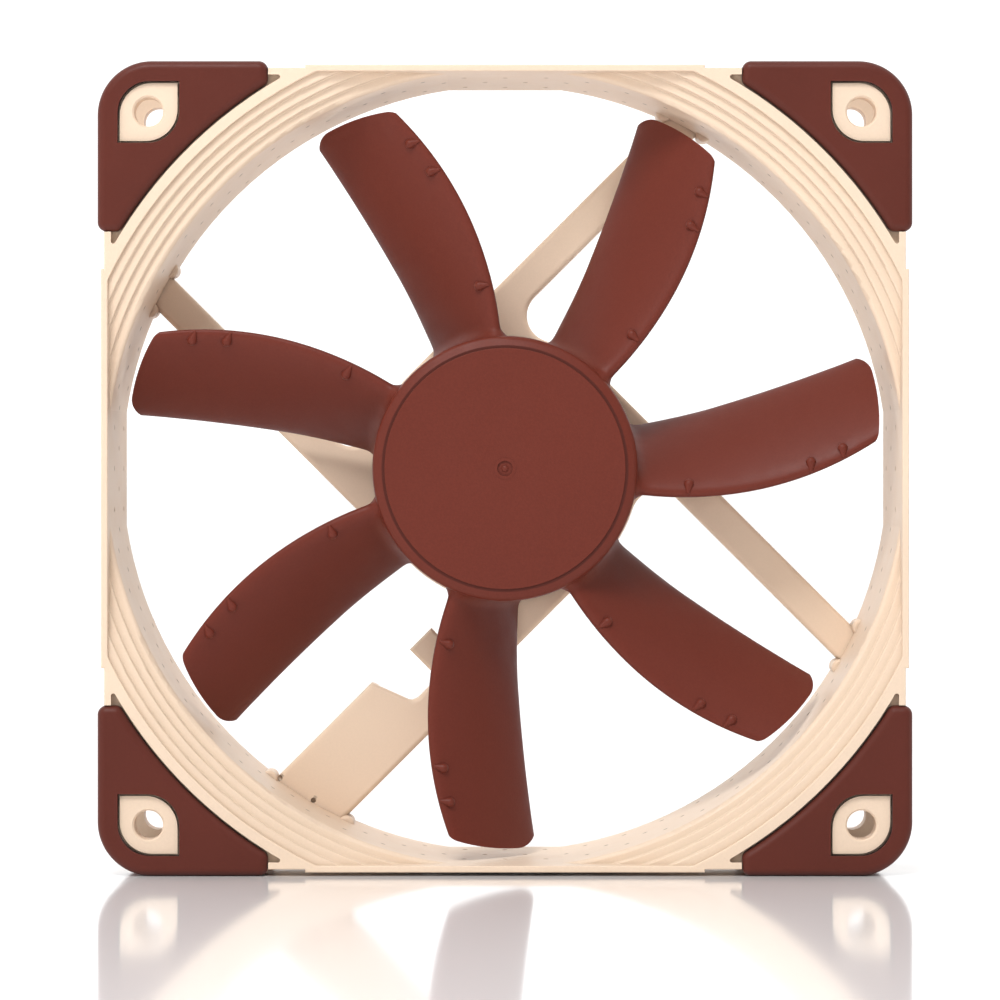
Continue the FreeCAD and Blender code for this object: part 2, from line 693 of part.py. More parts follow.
def tip_outline():
    """Front-view outline that trims the blade's tip and rounds its two corners."""
    near_r = ROOT_R + SPAN * 0.4
    mid_r = ROOT_R + SPAN * 0.7
    lead = [polar(r, lead_angle(r) - TIP_MARGIN_ANGLE) for r in (near_r, mid_r, TIP_LEAD_R)]
    trail = [polar(r, trail_angle(r) + TIP_MARGIN_ANGLE) for r in (TIP_TRAIL_R, mid_r, near_r)]
    inner = [polar(near_r, trail_angle(near_r) + 40), polar(5, 10), polar(near_r, lead_angle(near_r) - 40)]
    tip_heading = (lead_angle(TIP_LEAD_R) + trail_angle(TIP_TRAIL_R)) / 2
    tip_mid = polar((TIP_LEAD_R + TIP_TRAIL_R) / 2 + TIP_BULGE, tip_heading)
    edges = [
        Part.Arc(lead[0], lead[1], lead[2]).toShape(),
        Part.Arc(lead[2], tip_mid, trail[0]).toShape(),
        Part.Arc(trail[0], trail[1], trail[2]).toShape(),
    ]
    stops = [trail[2]] + inner + [lead[0]]
    edges += [Part.makeLine(a, b) for a, b in zip(stops, stops[1:])]
    trim = plate(edges, 0, FAN_DEPTH)
    for corner, radius in ((lead[2], TIP_LEAD_ROUND), (trail[0], TIP_TRAIL_ROUND)):
        trim = trim.makeFillet(radius, [edge for edge in upright_edges(trim) if stands_on(edge, corner)])
    return trim


def blade_surface_point(radius, s):
    """Point on the blade's intake side."""
    angle, depth = camber_point(radius, s)
    arc_normal, depth_normal = blade_normal(radius, s)
    offset = half_thickness(radius, math.acos(1 - 2 * s))
    point = polar(radius, angle + math.degrees(offset * arc_normal / radius))
    return point + Vector(0, 0, z_at(depth + offset * depth_normal))


def knob(radius):
    """Small drop-shaped bump that starts by the leading edge and lies back along the intake side."""
    turn_of_chord = math.radians(trail_angle(radius) - lead_angle(radius))
    chord = math.hypot(turn_of_chord * radius, TRAIL_TIP_DEPTH - LEAD_TIP_DEPTH)
    nose = blade_surface_point(radius, KNOB_NOSE_INSET / chord)
    tail = blade_surface_point(radius, KNOB_TAIL_INSET / chord)
    bump = drop(KNOB_NOSE_R, KNOB_TAIL_R, (tail - nose).Length)
    bump.Placement = FreeCAD.Placement(nose, FreeCAD.Rotation(AXIS, tail - nose))
    return bump


def drop(nose_r, tail_r, length):
    """Two balls of different size, length apart along Z, in one smooth skin."""
    slope = math.asin((tail_r - nose_r) / length)
    nose_side = Vector(nose_r * math.cos(slope), 0, -nose_r * math.sin(slope))
    tail_side = Vector(tail_r * math.cos(slope), 0, length - tail_r * math.sin(slope))
    nose_tip = Vector(0, 0, -nose_r)
    tail_tip = Vector(0, 0, length + tail_r)
    nose_bend = -(math.pi / 2 + slope) / 2
    nose_middle = Vector(nose_r * math.cos(nose_bend), 0, nose_r * math.sin(nose_bend))
    tail_bend = (math.pi / 2 - slope) / 2
    tail_middle = Vector(tail_r * math.cos(tail_bend), 0, length + tail_r * math.sin(tail_bend))
    edges = [
        Part.Arc(nose_tip, nose_middle, nose_side).toShape(),
        Part.makeLine(nose_side, tail_side),
        Part.Arc(tail_side, tail_middle, tail_tip).toShape(),
        Part.makeLine(tail_tip, nose_tip),
    ]
    return Part.Face(Part.Wire(edges)).revolve(CENTRE, AXIS, 360)


def section_places():
    """Section planes: close together where the root swells, then wider and wider apart towards the tip."""
    places = []
    for i in range(SECTIONS):
        share = i / (SECTIONS - 1)
        spread = SECTION_CROWDING * share + (1 - SECTION_CROWDING) * share ** SECTION_SPREAD_POWER
        places.append(BLADE_ROOT_X + (BLADE_TIP_X - BLADE_ROOT_X) * spread)
    return places


def make_blade():
    sections = [blade_section(place) for place in section_places()]
    blade = turn(Part.makeLoft(sections, True, False), SECTION_HEADING)
    return blade.common(tip_outline())


def hub_outside():
    """Hub's outer shape: flat face with a fine groove near its rim, a soft shoulder and drafted sides."""
    groove = HUB_FRONT + HUB_GROOVE_SINK
    profile = [
        (0, HUB_FRONT, 0),
        (HUB_FACE_R, HUB_FRONT, HUB_FACE_ROUND),
        (HUB_FACE_R, groove, 0),
        (HUB_FACE_R + HUB_GROOVE_WIDTH, groove, 0),
        (HUB_CORNER_R, HUB_CORNER_DEPTH, HUB_CORNER_ROUND),
        (HUB_SHOULDER_R, HUB_ROUND_DEPTH, 0),
        (HUB_REAR_R, HUB_BACK, HUB_REAR_ROUND),
        (0, HUB_BACK, 0),
    ]
    return turn(turned(profile), HUB_SEAM_ANGLE)


def hub_inside():
    """Space for the yoke and the bush."""
    return disc(YOKE_R, HUB_FRONT + HUB_TOP, HUB_BACK + 1).fuse(disc(BUSH_R, BUSH_FRONT, HUB_BACK))


def add_gate_mark(body):
    """Moulding mark in the middle of the face: a faint rim, a sunk ring and a pip."""
    rim = ring(GATE_RIM_R, GATE_R, HUB_FRONT - GATE_RIM_RISE, HUB_FRONT + OVERLAP)
    sunk = disc(GATE_R, HUB_FRONT - PAST, HUB_FRONT + GATE_SINK)
    pip = Part.makeSphere(GATE_PIP_R, Vector(0, 0, z_at(HUB_FRONT + GATE_PIP_R - GATE_PIP_RISE)))
    pip = pip.common(disc(GATE_R, HUB_FRONT - PAST, HUB_FRONT + GATE_SINK + OVERLAP))
    return body.fuse(rim).cut(sunk).fuse(pip)


def make_impeller():
    turns = [i * 360 / BLADE_COUNT for i in range(BLADE_COUNT)]
    body = hub_outside().fuse(around(make_blade(), turns))
    body = add_gate_mark(body.cut(hub_inside()))
    bumps = [turn(knob(radius), angle) for angle in turns for radius in KNOB_RADII]
    return body.fuse(bumps)


# ---------------------------------------------------------------- rotor inside the hub

def make_yoke():
    """Deep-drawn steel cup with a rounded rim corner."""
    front = HUB_FRONT + HUB_TOP
    profile = [
        (BUSH_R, front, 0),
        (YOKE_R, front, 0),
        (YOKE_R, YOKE_BACK, 0),
        (YOKE_R - YOKE_WALL, YOKE_BACK, 0),
        (YOKE_R - YOKE_WALL, front + YOKE_WALL, 0.6),
        (BUSH_R, front + YOKE_WALL, 0),
    ]
    return turned(profile)


def make_shaft():
    """Ground shaft with a domed end and the groove that takes the retaining clip."""
    profile = [
        (0, BUSH_FRONT, 0),
        (SHAFT_R, BUSH_FRONT, 0),
        (SHAFT_R, GROOVE_FRONT, 0),
        (GROOVE_R, GROOVE_FRONT, 0),
        (GROOVE_R, GROOVE_FRONT + GROOVE_WIDTH, 0),
        (SHAFT_R, GROOVE_FRONT + GROOVE_WIDTH, 0),
        (SHAFT_R, SHAFT_BACK, 0.3),
        (0, SHAFT_BACK, 0),
    ]
    return turned(profile)


def make_clip():
    """Split ring in the shaft's groove."""
    front = GROOVE_FRONT + CLIP_CLEARANCE
    back = GROOVE_FRONT + GROOVE_WIDTH - CLIP_CLEARANCE
    gap = block(0, CLIP_R + PAST, -CLIP_GAP / 2, CLIP_GAP / 2, front - PAST, back + PAST)
    return ring(CLIP_R, GROOVE_R + CLIP_CLEARANCE, front, back).cut(gap)


# ---------------------------------------------------------------- bearing

def make_thrust_pad():
    pad = disc(TUBE_INNER_R, THRUST_FRONT, THRUST_FRONT + THRUST_THICKNESS)
    return pad.makeChamfer(0.15, edges_at(pad, THRUST_FRONT))


def make_stabiliser_magnet():
    return disc(TUBE_INNER_R, THRUST_FRONT + THRUST_THICKNESS, TUBE_BACK)


def make_sleeve():
    sleeve = ring(TUBE_INNER_R, SHAFT_R + SHAFT_CLEARANCE, SLEEVE_FRONT, SLEEVE_BACK)
    return sleeve.makeChamfer(0.3, edges_at(sleeve, SLEEVE_FRONT) + edges_at(sleeve, SLEEVE_BACK))


# ---------------------------------------------------------------- stator

def neck(half_width, front, back, inner=TUBE_OUTER_R, outer=CORE_R):
    """Bar of one pole along +X."""
    return block(inner, outer, -half_width, half_width, front, back)


def span(face, rise):
    """Front and back depth of a layer that starts on a face."""
    return sorted((face, face + rise))


def pole_gaps(inner, outer, front, back):
    """Cutting bars for the gaps between neighbouring poles."""
    inner, outer = inner - PAST, outer + PAST
    gap = block(inner, outer, -CORE_SLOT_HALF, CORE_SLOT_HALF, front - PAST, back + PAST)
    return around(turn(gap, 45), QUARTERS)


def make_core():
    """Laminated core: a hub, four necks and four curved pole shoes with slots between them."""
    front, back = CORE_FRONT, CORE_BACK
    shoes = ring(CORE_R, CORE_SHOE_R, front, back)
    shoes = shoes.cut(pole_gaps(CORE_SHOE_R, CORE_R, front, back))
    body = ring(CORE_HUB_R, TUBE_OUTER_R, front, back).fuse(shoes)
    bar = neck(NECK_HALF, front, back, CORE_HUB_R - OVERLAP, CORE_SHOE_R + OVERLAP)
    return body.fuse(around(bar, QUARTERS)).removeSplitter()


def make_insulator(face, outward):
    """Half of the bobbin on an end face of the core; outward is -1 towards the intake, 1 towards the base."""
    hub = ring(CORE_HUB_R, TUBE_OUTER_R, *span(face, outward * BOBBIN_HUB_RISE))
    guard = ring(GUARD_R + GUARD_WALL, GUARD_R, *span(face, outward * GUARD_RISE))
    guard = guard.cut(pole_gaps(GUARD_R, GUARD_R, *span(face, outward * GUARD_RISE)))
    half_width = NECK_HALF + BOBBIN_SKIRT
    arm = neck(half_width, *span(face, outward * BOBBIN_WALL), CORE_HUB_R - OVERLAP, GUARD_R + OVERLAP)
    skirt_span = span(face, -outward * (CORE_BACK - CORE_FRONT) / 2)
    skirt = neck(half_width, *skirt_span, CORE_HUB_R, CORE_SHOE_R)
    skirt = skirt.common(ring(CORE_SHOE_R, CORE_HUB_R, *skirt_span))
    skirt = skirt.cut(neck(NECK_HALF, *skirt_span))
    arms = around(arm.fuse(skirt), QUARTERS)
    return hub.fuse([guard] + arms).removeSplitter()


def make_coil():
    """Winding round one pole neck, along +X."""
    inner_half = NECK_HALF + BOBBIN_SKIRT
    inner_front = CORE_FRONT - BOBBIN_WALL
    inner_back = CORE_BACK + BOBBIN_WALL
    outer_half = inner_half + COIL_BUILD
    outer_front = inner_front - COIL_RISE
    outer_back = inner_back + COIL_RISE
    body = block(COIL_INNER_X, COIL_OUTER_X, -outer_half, outer_half, outer_front, outer_back)
    long_edges = [edge for edge in body.Edges if edge.BoundBox.XLength > 1]
    body = body.makeFillet(COIL_ROUND, long_edges)
    return body.cut(neck(inner_half, inner_front, inner_back))


def pin_places():
    """Places of the three winding pins."""
    return [polar(PIN_R, PIN_TURN + heading) for heading in QUARTERS[:3]]


def make_pins():
    """Square pins from the lower insulator's guard through the circuit board."""
    pins = []
    for place in pin_places():
        low = place - Vector(PIN_HALF, PIN_HALF)
        high = place + Vector(PIN_HALF, PIN_HALF)
        pins.append(block(low.x, high.x, low.y, high.y, CORE_BACK + GUARD_RISE, PIN_BACK))
    return Part.makeCompound(pins)


# ---------------------------------------------------------------- circuit board

def make_board():
    board = ring(BOARD_R, BOARD_HOLE_R, BOARD_FRONT, BOARD_BACK)
    holes = []
    for place in pin_places():
        foot = place + Vector(0, 0, z_at(BOARD_BACK))
        holes.append(Part.makeCylinder(BOARD_PIN_HOLE_R, BOARD_BACK - BOARD_FRONT, foot))
    return board.cut(holes)


def chip(size, place):
    """Small block on the board's front, sized (along the radius, across, height) at (radius, angle)."""
    length, width, height = size
    radius, angle = place
    front = BOARD_FRONT - height
    body = block(radius - length / 2, radius + length / 2, -width / 2, width / 2, front, BOARD_FRONT)
    body = body.makeChamfer(CHIP_CHAMFER, edges_at(body, front))
    return turn(body, angle)


def chip_row(size, radius, angles):
    return Part.makeCompound([chip(size, (radius, angle)) for angle in angles])


# ---------------------------------------------------------------- the set of parts

def corner_pads():
    pad = make_pad()
    pads = {}
    for place, angle in zip(PAD_PLACES, QUARTERS):
        pads["front_pad_" + place] = turn(pad, angle)
        pads["rear_pad_" + place] = flip_to_rear(turn(pad, angle))
    return pads


def rotor_parts():
    return {
        "impeller": make_impeller(),
        "rotor_yoke": make_yoke(),
        "rotor_magnet": ring(YOKE_R - YOKE_WALL, MAGNET_INNER_R, MAGNET_FRONT, MAGNET_BACK),
        "shaft_bush": ring(BUSH_R, SHAFT_R, BUSH_FRONT, BUSH_BACK),
        "shaft": make_shaft(),
        "retaining_clip": make_clip(),
        "oil_slinger": ring(SLINGER_R, SHAFT_R, SLINGER_FRONT, SLINGER_FRONT + SLINGER_THICKNESS),
    }


def bearing_parts():
    return {
        "bearing_tube": ring(TUBE_OUTER_R, TUBE_INNER_R, TUBE_FRONT, TUBE_BACK),
        "bearing_sleeve": make_sleeve(),
        "oil_seal_ring": ring(TUBE_INNER_R, SEAL_BORE_R, SEAL_FRONT, SEAL_FRONT + SEAL_THICKNESS),
        "thrust_pad": make_thrust_pad(),
        "stabiliser_magnet": make_stabiliser_magnet(),
    }


def stator_parts():
    parts = {
        "stator_core": make_core(),
        "upper_insulator": make_insulator(CORE_FRONT, -1),
        "lower_insulator": make_insulator(CORE_BACK, 1),
        "winding_pins": make_pins(),
    }
    coil = make_coil()
    for name, angle in zip(COIL_NAMES, QUARTERS):
        parts[name] = turn(coil, angle)
    return parts


def board_parts():
    label_front = REAR_DEPTH - LABEL_RECESS
    return {
        "circuit_board": make_board(),
        "driver_chip": chip(DRIVER_SIZE, DRIVER_PLACE),
        "hall_sensor": chip(SENSOR_SIZE, SENSOR_PLACE),
        "chip_capacitors": chip_row(CAPACITOR_SIZE, CAPACITOR_R, CAPACITOR_ANGLES),
        "chip_resistors": chip_row(RESISTOR_SIZE, RESISTOR_R, RESISTOR_ANGLES),
        "rear_label": disc(LABEL_R, label_front, label_front + LABEL_THICKNESS),
    }


def main():
    os.makedirs("parts", exist_ok=True)
    parts = {"frame": make_frame()}
    parts.update(corner_pads())
    parts.update(rotor_parts())
    parts.update(bearing_parts())
    parts.update(stator_parts())
    parts.update(board_parts())
    for name, shape in parts.items():
        upright = shape.copy()
        upright.rotate(CENTRE, Vector(1, 0, 0), 90)
        upright.exportStep("parts/" + name + ".step")
        print(name, len(upright.Solids), upright.isValid(), round(upright.Volume, 2))


main()
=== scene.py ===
import json
import math

import bpy
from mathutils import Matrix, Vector


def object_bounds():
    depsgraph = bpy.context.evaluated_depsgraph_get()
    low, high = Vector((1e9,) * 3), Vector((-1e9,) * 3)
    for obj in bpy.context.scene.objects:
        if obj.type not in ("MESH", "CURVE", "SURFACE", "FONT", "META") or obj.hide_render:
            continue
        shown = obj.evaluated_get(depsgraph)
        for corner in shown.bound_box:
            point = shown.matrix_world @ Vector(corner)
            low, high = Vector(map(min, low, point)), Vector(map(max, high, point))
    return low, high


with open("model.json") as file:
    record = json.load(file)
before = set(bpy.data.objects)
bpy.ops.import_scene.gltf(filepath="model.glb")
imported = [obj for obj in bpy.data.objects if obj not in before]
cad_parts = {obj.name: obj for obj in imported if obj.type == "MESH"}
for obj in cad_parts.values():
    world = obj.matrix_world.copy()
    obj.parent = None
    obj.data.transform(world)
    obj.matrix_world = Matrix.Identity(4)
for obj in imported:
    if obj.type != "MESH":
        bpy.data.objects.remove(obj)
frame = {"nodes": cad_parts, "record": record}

# Case fan: the CAD nodes carry the shape, and this script gives them their looks, light and camera.
# Lengths are metres. The intake faces -Y and +Z is up.

CAD_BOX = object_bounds()
MM = 0.001

# Camera, square on to the intake
CAMERA_DISTANCE = 0.680
FRONT_Y = CAD_BOX[0][1]
LENS_MM = 166.5
SENSOR_MM = 36.0
SHIFT_X = -0.005
SHIFT_Y = -0.0315

FLOOR_Z = CAD_BOX[0][2]
FLOOR_HALF = 60.0

# Details of the CAD shape that the finishes follow
DIMPLES_PER_ROW = 60
DIMPLE_DEPTHS = (9.0 * MM, 14.5 * MM, 20.5 * MM)
DUCT_R = 58.5 * MM
HUB_GROOVE_R = 18.0 * MM
HUB_FACE_Y = -10.3 * MM

# Light: the room's brightness in front, the backdrop's behind, and how much the ceiling counts as backdrop
ROOM = 0.46
BACKDROP = 1.25
FADE_START = -0.5
FADE_END = 0.6
CEILING_SHARE = 0.35
KEY_W = 5.5
FRONT_W = 16.5
SIDE_W = 1.5
KEY_PLACE = (-0.18, -0.62, 0.72)
FRONT_PLACE = (-0.60, -1.30, -0.40)
SIDE_PLACE = (-1.0, -0.55, 0.0)


# ---------------------------------------------------------------- node graph aids

def set_range(node, low, high, out_low, out_high):
    """Sets what a Map Range node maps from and to."""
    numbers = {"From Min": low, "From Max": high, "To Min": out_low, "To Max": out_high}
    for name, number in numbers.items():
        node.inputs[name].default_value = number


class Graph:
    """A material's node graph, with short calls for the nodes used here."""

    def __init__(self, name):
        self.material = bpy.data.materials.new(name)
        self.material.use_nodes = True
        self.tree = self.material.node_tree
        self.shader = self.tree.nodes["Principled BSDF"]
        self.place = self.tree.nodes.new("ShaderNodeTexCoord").outputs["Object"]

    def link(self, source, target):
        self.tree.links.new(source, target)

    def feed(self, socket, value):
        """Sets a socket to a constant or links it to an output."""
        if isinstance(value, bpy.types.NodeSocket):
            self.link(value, socket)
        else:
            socket.default_value = value

    def noise(self, size, detail=3.0, roughness=0.5, place=None, distortion=0.0):
        """Noise whose features are about this many metres across."""
        node = self.tree.nodes.new("ShaderNodeTexNoise")
        node.inputs["Scale"].default_value = 1.0 / size
        node.inputs["Detail"].default_value = detail
        node.inputs["Roughness"].default_value = roughness
        node.inputs["Distortion"].default_value = distortion
        self.link(place or self.place, node.inputs["Vector"])
        return node.outputs["Fac"]

    def cells(self, size, randomness=1.0):
        node = self.tree.nodes.new("ShaderNodeTexVoronoi")
        node.inputs["Scale"].default_value = 1.0 / size
        node.inputs["Randomness"].default_value = randomness
        self.link(self.place, node.inputs["Vector"])
        return node.outputs["Distance"]

    def stretched(self, x, y, z):
        """Object coordinates stretched along each axis."""
        node = self.tree.nodes.new("ShaderNodeMapping")
        node.inputs["Scale"].default_value = (x, y, z)
        self.link(self.place, node.inputs["Vector"])
        return node.outputs["Vector"]

    def remap(self, value, low, high, out_low, out_high):
        node = self.tree.nodes.new("ShaderNodeMapRange")
        self.link(value, node.inputs["Value"])
        set_range(node, low, high, out_low, out_high)
        return node.outputs["Result"]

    def math(self, operation, a, b=0.0):
        node = self.tree.nodes.new("ShaderNodeMath")
        node.operation = operation
        self.feed(node.inputs[0], a)
        self.feed(node.inputs[1], b)
        return node.outputs["Value"]

    def mix(self, factor, a, b):
        """Colour mix; a and b are colours or colour outputs."""
        node = self.tree.nodes.new("ShaderNodeMix")
        node.data_type = "RGBA"
        self.feed(node.inputs["Factor"], factor)
        self.feed(node.inputs["A"], a)
        self.feed(node.inputs["B"], b)
        return node.outputs["Result"]

    def axes(self):
        node = self.tree.nodes.new("ShaderNodeSeparateXYZ")
        self.link(self.place, node.inputs["Vector"])
        return node.outputs["X"], node.outputs["Y"], node.outputs["Z"]

    def axis_distance(self):
        """Distance from the fan's axis."""
        x, _, z = self.axes()
        return self.math("SQRT", self.math("ADD", self.math("MULTIPLY", x, x), self.math("MULTIPLY", z, z)))

    def edges(self, reach, samples=6):
        """1 on convex edges within reach, 0 elsewhere."""
        node = self.tree.nodes.new("ShaderNodeAmbientOcclusion")
        node.inside = True
        node.samples = samples
        node.inputs["Distance"].default_value = reach
        return self.remap(node.outputs["AO"], 0.45, 1.0, 1.0, 0.0)

    def creases(self, reach, samples=6):
        """1 in tight inner corners, 0 in the open."""
        node = self.tree.nodes.new("ShaderNodeAmbientOcclusion")
        node.samples = samples
        node.inputs["Distance"].default_value = reach
        return self.remap(node.outputs["AO"], 0.25, 0.9, 1.0, 0.0)

    def bump(self, height, distance, strength=1.0, below=None):
        node = self.tree.nodes.new("ShaderNodeBump")
        node.inputs["Strength"].default_value = strength
        node.inputs["Distance"].default_value = distance
        self.link(height, node.inputs["Height"])
        if below is not None:
            self.link(below, node.inputs["Normal"])
        return node.outputs["Normal"]

    def finish(self, colour, roughness, normal=None, **constants):
        self.feed(self.shader.inputs["Base Color"], colour)
        self.feed(self.shader.inputs["Roughness"], roughness)
        if normal is not None:
            self.link(normal, self.shader.inputs["Normal"])
        for name, value in constants.items():
            self.shader.inputs[name.replace("_", " ")].default_value = value
        return self.material


def shade(colour, factor):
    return tuple(min(channel * factor, 1.0) for channel in colour[:3]) + (1.0,)


# ---------------------------------------------------------------- materials

def moulded_plastic(name, colour, pale, grain, relief, gloss, edge_highlight_share, painted_shade_marks):
    """Injection-moulded plastic: fine grain and faint clouding, with painted highlights on its edges and
    painted shade in its creases.
    """
    g = Graph(name)
    cloud = g.noise(22 * MM, detail=2.0)
    fleck = g.noise(0.35 * MM, detail=2.0, roughness=0.6)
    base = g.mix(g.remap(cloud, 0.3, 0.7, 0.0, 1.0), shade(colour, 0.97), shade(colour, 1.03))
    base = g.mix(g.remap(fleck, 0.35, 0.75, 0.0, 0.35), base, shade(pale, 1.0))
    # Painted highlight: paler on convex edges, standing in for light caught by their rounding.
    base = g.mix(g.math("MULTIPLY", g.edges(0.3 * MM), edge_highlight_share), base, shade(pale, 1.12))
    # Painted shade: darker in tight inner corners and recesses, where shade falls.
    base = g.mix(g.math("MULTIPLY", g.creases(1.0 * MM), 0.5), base, shade(colour, 0.5))
    # Painted shade from the given mask, in the duct's dimples or the hub's groove.
    if painted_shade_marks:
        base = g.mix(painted_shade_marks(g), base, shade(colour, 0.42))
    rough = g.remap(g.noise(3.0 * MM, detail=3.0), 0.25, 0.75, gloss - 0.05, gloss + 0.06)
    flow = g.bump(g.noise(9 * MM, detail=1.0), 0.03 * MM, 0.35)
    texture = g.bump(g.noise(grain, detail=2.0, roughness=0.55), relief, 0.6, below=flow)
    return g.finish(base, rough, texture, IOR=1.49, Specular_IOR_Level=0.25)


def duct_dimple_shade(g):
    """Painted shade in the rows of dimples round the duct's wall."""
    x, y, z = g.axes()
    step = 2 * math.pi / DIMPLES_PER_ROW
    turns = g.math("DIVIDE", g.math("ARCTAN2", z, x), step)
    reach_out = g.axis_distance()
    inside = g.remap(reach_out, 59.6 * MM, 59.8 * MM, 1.0, 0.0)
    wall = g.math("MULTIPLY", inside, g.remap(reach_out, 57.2 * MM, 57.3 * MM, 0.0, 1.0))
    share = None
    for row, depth in enumerate(DIMPLE_DEPTHS):
        part_turn = g.math("FRACT", g.math("ADD", turns, 10.5 - 0.5 * (row % 2)))
        beside = g.math("ABSOLUTE", g.math("SUBTRACT", part_turn, 0.5))
        along = g.math("MULTIPLY", beside, step * DUCT_R)
        across = g.math("SUBTRACT", y, CAD_BOX[0][1] + depth)
        reach = g.math("SQRT", g.math("ADD", g.math("POWER", along, 2.0), g.math("POWER", across, 2.0)))
        spot = g.remap(reach, 0.28 * MM, 0.48 * MM, 0.75, 0.0)
        share = spot if share is None else g.math("MAXIMUM", share, spot)
    return g.math("MULTIPLY", share, wall)


def hub_groove(g):
    """Shade in the fine groove round the hub's face."""
    _, y, _ = g.axes()
    aside = g.math("ABSOLUTE", g.math("SUBTRACT", g.axis_distance(), HUB_GROOVE_R))
    line = g.remap(aside, 0.12 * MM, 0.30 * MM, 0.75, 0.0)
    return g.math("MULTIPLY", line, g.remap(y, HUB_FACE_Y, HUB_FACE_Y + 0.1 * MM, 1.0, 0.0))


def silicone(name, colour):
    """Soft rubber: satin, faintly powdered, with fine pits."""
    g = Graph(name)
    cloud = g.noise(14 * MM, detail=3.0)
    powder = g.noise(0.6 * MM, detail=4.0, roughness=0.65)
    base = g.mix(g.remap(cloud, 0.3, 0.7, 0.0, 1.0), shade(colour, 0.95), shade(colour, 1.05))
    base = g.mix(g.remap(powder, 0.5, 0.8, 0.0, 0.18), base, shade(colour, 1.5))
    # Painted highlight: paler on convex edges, standing in for light caught by their rounding.
    base = g.mix(g.math("MULTIPLY", g.edges(0.5 * MM), 0.22), base, shade(colour, 1.35))
    # Painted shade: much darker in tight inner corners and gaps, where shade falls.
    base = g.mix(g.math("MULTIPLY", g.creases(1.0 * MM), 0.6), base, shade(colour, 0.35))
    rough = g.remap(g.noise(2.0 * MM, detail=3.0), 0.25, 0.75, 0.40, 0.52)
    slack = g.bump(g.noise(7 * MM, detail=1.0), 0.05 * MM, 0.4)
    pits = g.bump(g.cells(0.28 * MM), 0.012 * MM, 0.35, below=slack)
    return g.finish(base, rough, pits, IOR=1.42, Specular_IOR_Level=0.3, Sheen_Weight=0.04)


def metal(name, colour, rough, grain_along, relief):
    """Worked metal, with fine lines drawn out along one direction and slight tarnish."""
    g = Graph(name)
    lines = g.noise(0.12 * MM, detail=3.0, place=g.stretched(*grain_along))
    tarnish = g.noise(4 * MM, detail=4.0)
    base = g.mix(g.remap(tarnish, 0.35, 0.7, 0.0, 1.0), shade(colour, 0.86), shade(colour, 1.06))
    base = g.mix(g.math("MULTIPLY", g.edges(0.25 * MM), 0.4), base, shade(colour, 1.3))
    sheen = g.remap(lines, 0.2, 0.8, rough - 0.07, rough + 0.1)
    return g.finish(base, sheen, g.bump(lines, relief, 0.5), Metallic=1.0)


def laminations(name, colour):
    """Stack of thin steel sheets: lines across the fan's axis and a varnished face."""
    g = Graph(name)
    _, y, _ = g.axes()
    sheet = g.math("FRACT", g.math("MULTIPLY", y, 1.0 / (0.5 * MM)))
    seam = g.remap(g.math("ABSOLUTE", g.math("SUBTRACT", sheet, 0.5)), 0.36, 0.5, 0.0, 1.0)
    base = g.mix(seam, shade(colour, 1.05), shade(colour, 0.35))
    base = g.mix(g.remap(g.noise(2 * MM, detail=4.0), 0.4, 0.8, 0.0, 0.4), base, (0.23, 0.16, 0.11, 1.0))
    rough = g.remap(g.noise(1.2 * MM), 0.2, 0.8, 0.32, 0.5)
    return g.finish(base, rough, g.bump(g.math("SUBTRACT", 1.0, seam), 0.05 * MM, 0.8), Metallic=1.0)


def enamelled_wire(name, colour):
    """Copper wire under clear enamel."""
    g = Graph(name)
    patches = g.remap(g.noise(1.5 * MM, detail=3.0), 0.3, 0.7, 0.0, 1.0)
    base = g.mix(patches, shade(colour, 0.8), shade(colour, 1.15))
    rough = g.remap(g.noise(0.7 * MM), 0.2, 0.8, 0.22, 0.34)
    return g.finish(base, rough, g.bump(g.noise(0.15 * MM), 0.003 * MM, 0.4), Metallic=1.0, Coat_Weight=0.6)


def solder_mask(name, colour):
    """Circuit board lacquer over faint copper tracks, with a bare glass-fibre edge."""
    g = Graph(name)
    tracks = g.tree.nodes.new("ShaderNodeTexBrick")
    tracks.inputs["Scale"].default_value = 1.0 / (6 * MM)
    tracks.inputs["Mortar Size"].default_value = 0.03
    tracks.inputs["Mortar Smooth"].default_value = 0.2
    g.link(g.stretched(1.0, 1.0, 1.0), tracks.inputs["Vector"])
    weave = g.noise(0.5 * MM, detail=1.0)
    base = g.mix(tracks.outputs["Fac"], shade(colour, 1.0), shade(colour, 2.1))
    base = g.mix(g.remap(weave, 0.4, 0.7, 0.0, 0.3), base, shade(colour, 0.6))
    base = g.mix(g.math("MULTIPLY", g.edges(0.4 * MM), 0.6), base, (0.42, 0.38, 0.2, 1.0))
    rough = g.remap(weave, 0.2, 0.8, 0.22, 0.34)
    normal = g.bump(tracks.outputs["Fac"], 0.03 * MM, 0.6)
    return g.finish(base, rough, normal, IOR=1.5, Coat_Weight=0.3)


def sticker(name, colour):
    """Plain coated paper label."""
    g = Graph(name)
    fibre = g.noise(0.4 * MM, detail=4.0, place=g.stretched(1.0, 1.0, 0.35))
    base = g.mix(g.remap(fibre, 0.3, 0.7, 0.0, 1.0), shade(colour, 0.95), shade(colour, 1.04))
    rim = g.remap(g.axis_distance(), 16.3 * MM, 16.5 * MM, 0.0, 0.5)
    base = g.mix(rim, base, shade(colour, 0.55))
    rough = g.remap(g.noise(3 * MM), 0.25, 0.75, 0.34, 0.46)
    return g.finish(base, rough, g.bump(fibre, 0.006 * MM, 0.4), IOR=1.5)


CREAM = (0.800, 0.630, 0.480, 1.0)
BROWN = (0.132, 0.023, 0.013, 1.0)
PAD_BROWN = (0.102, 0.020, 0.012, 1.0)
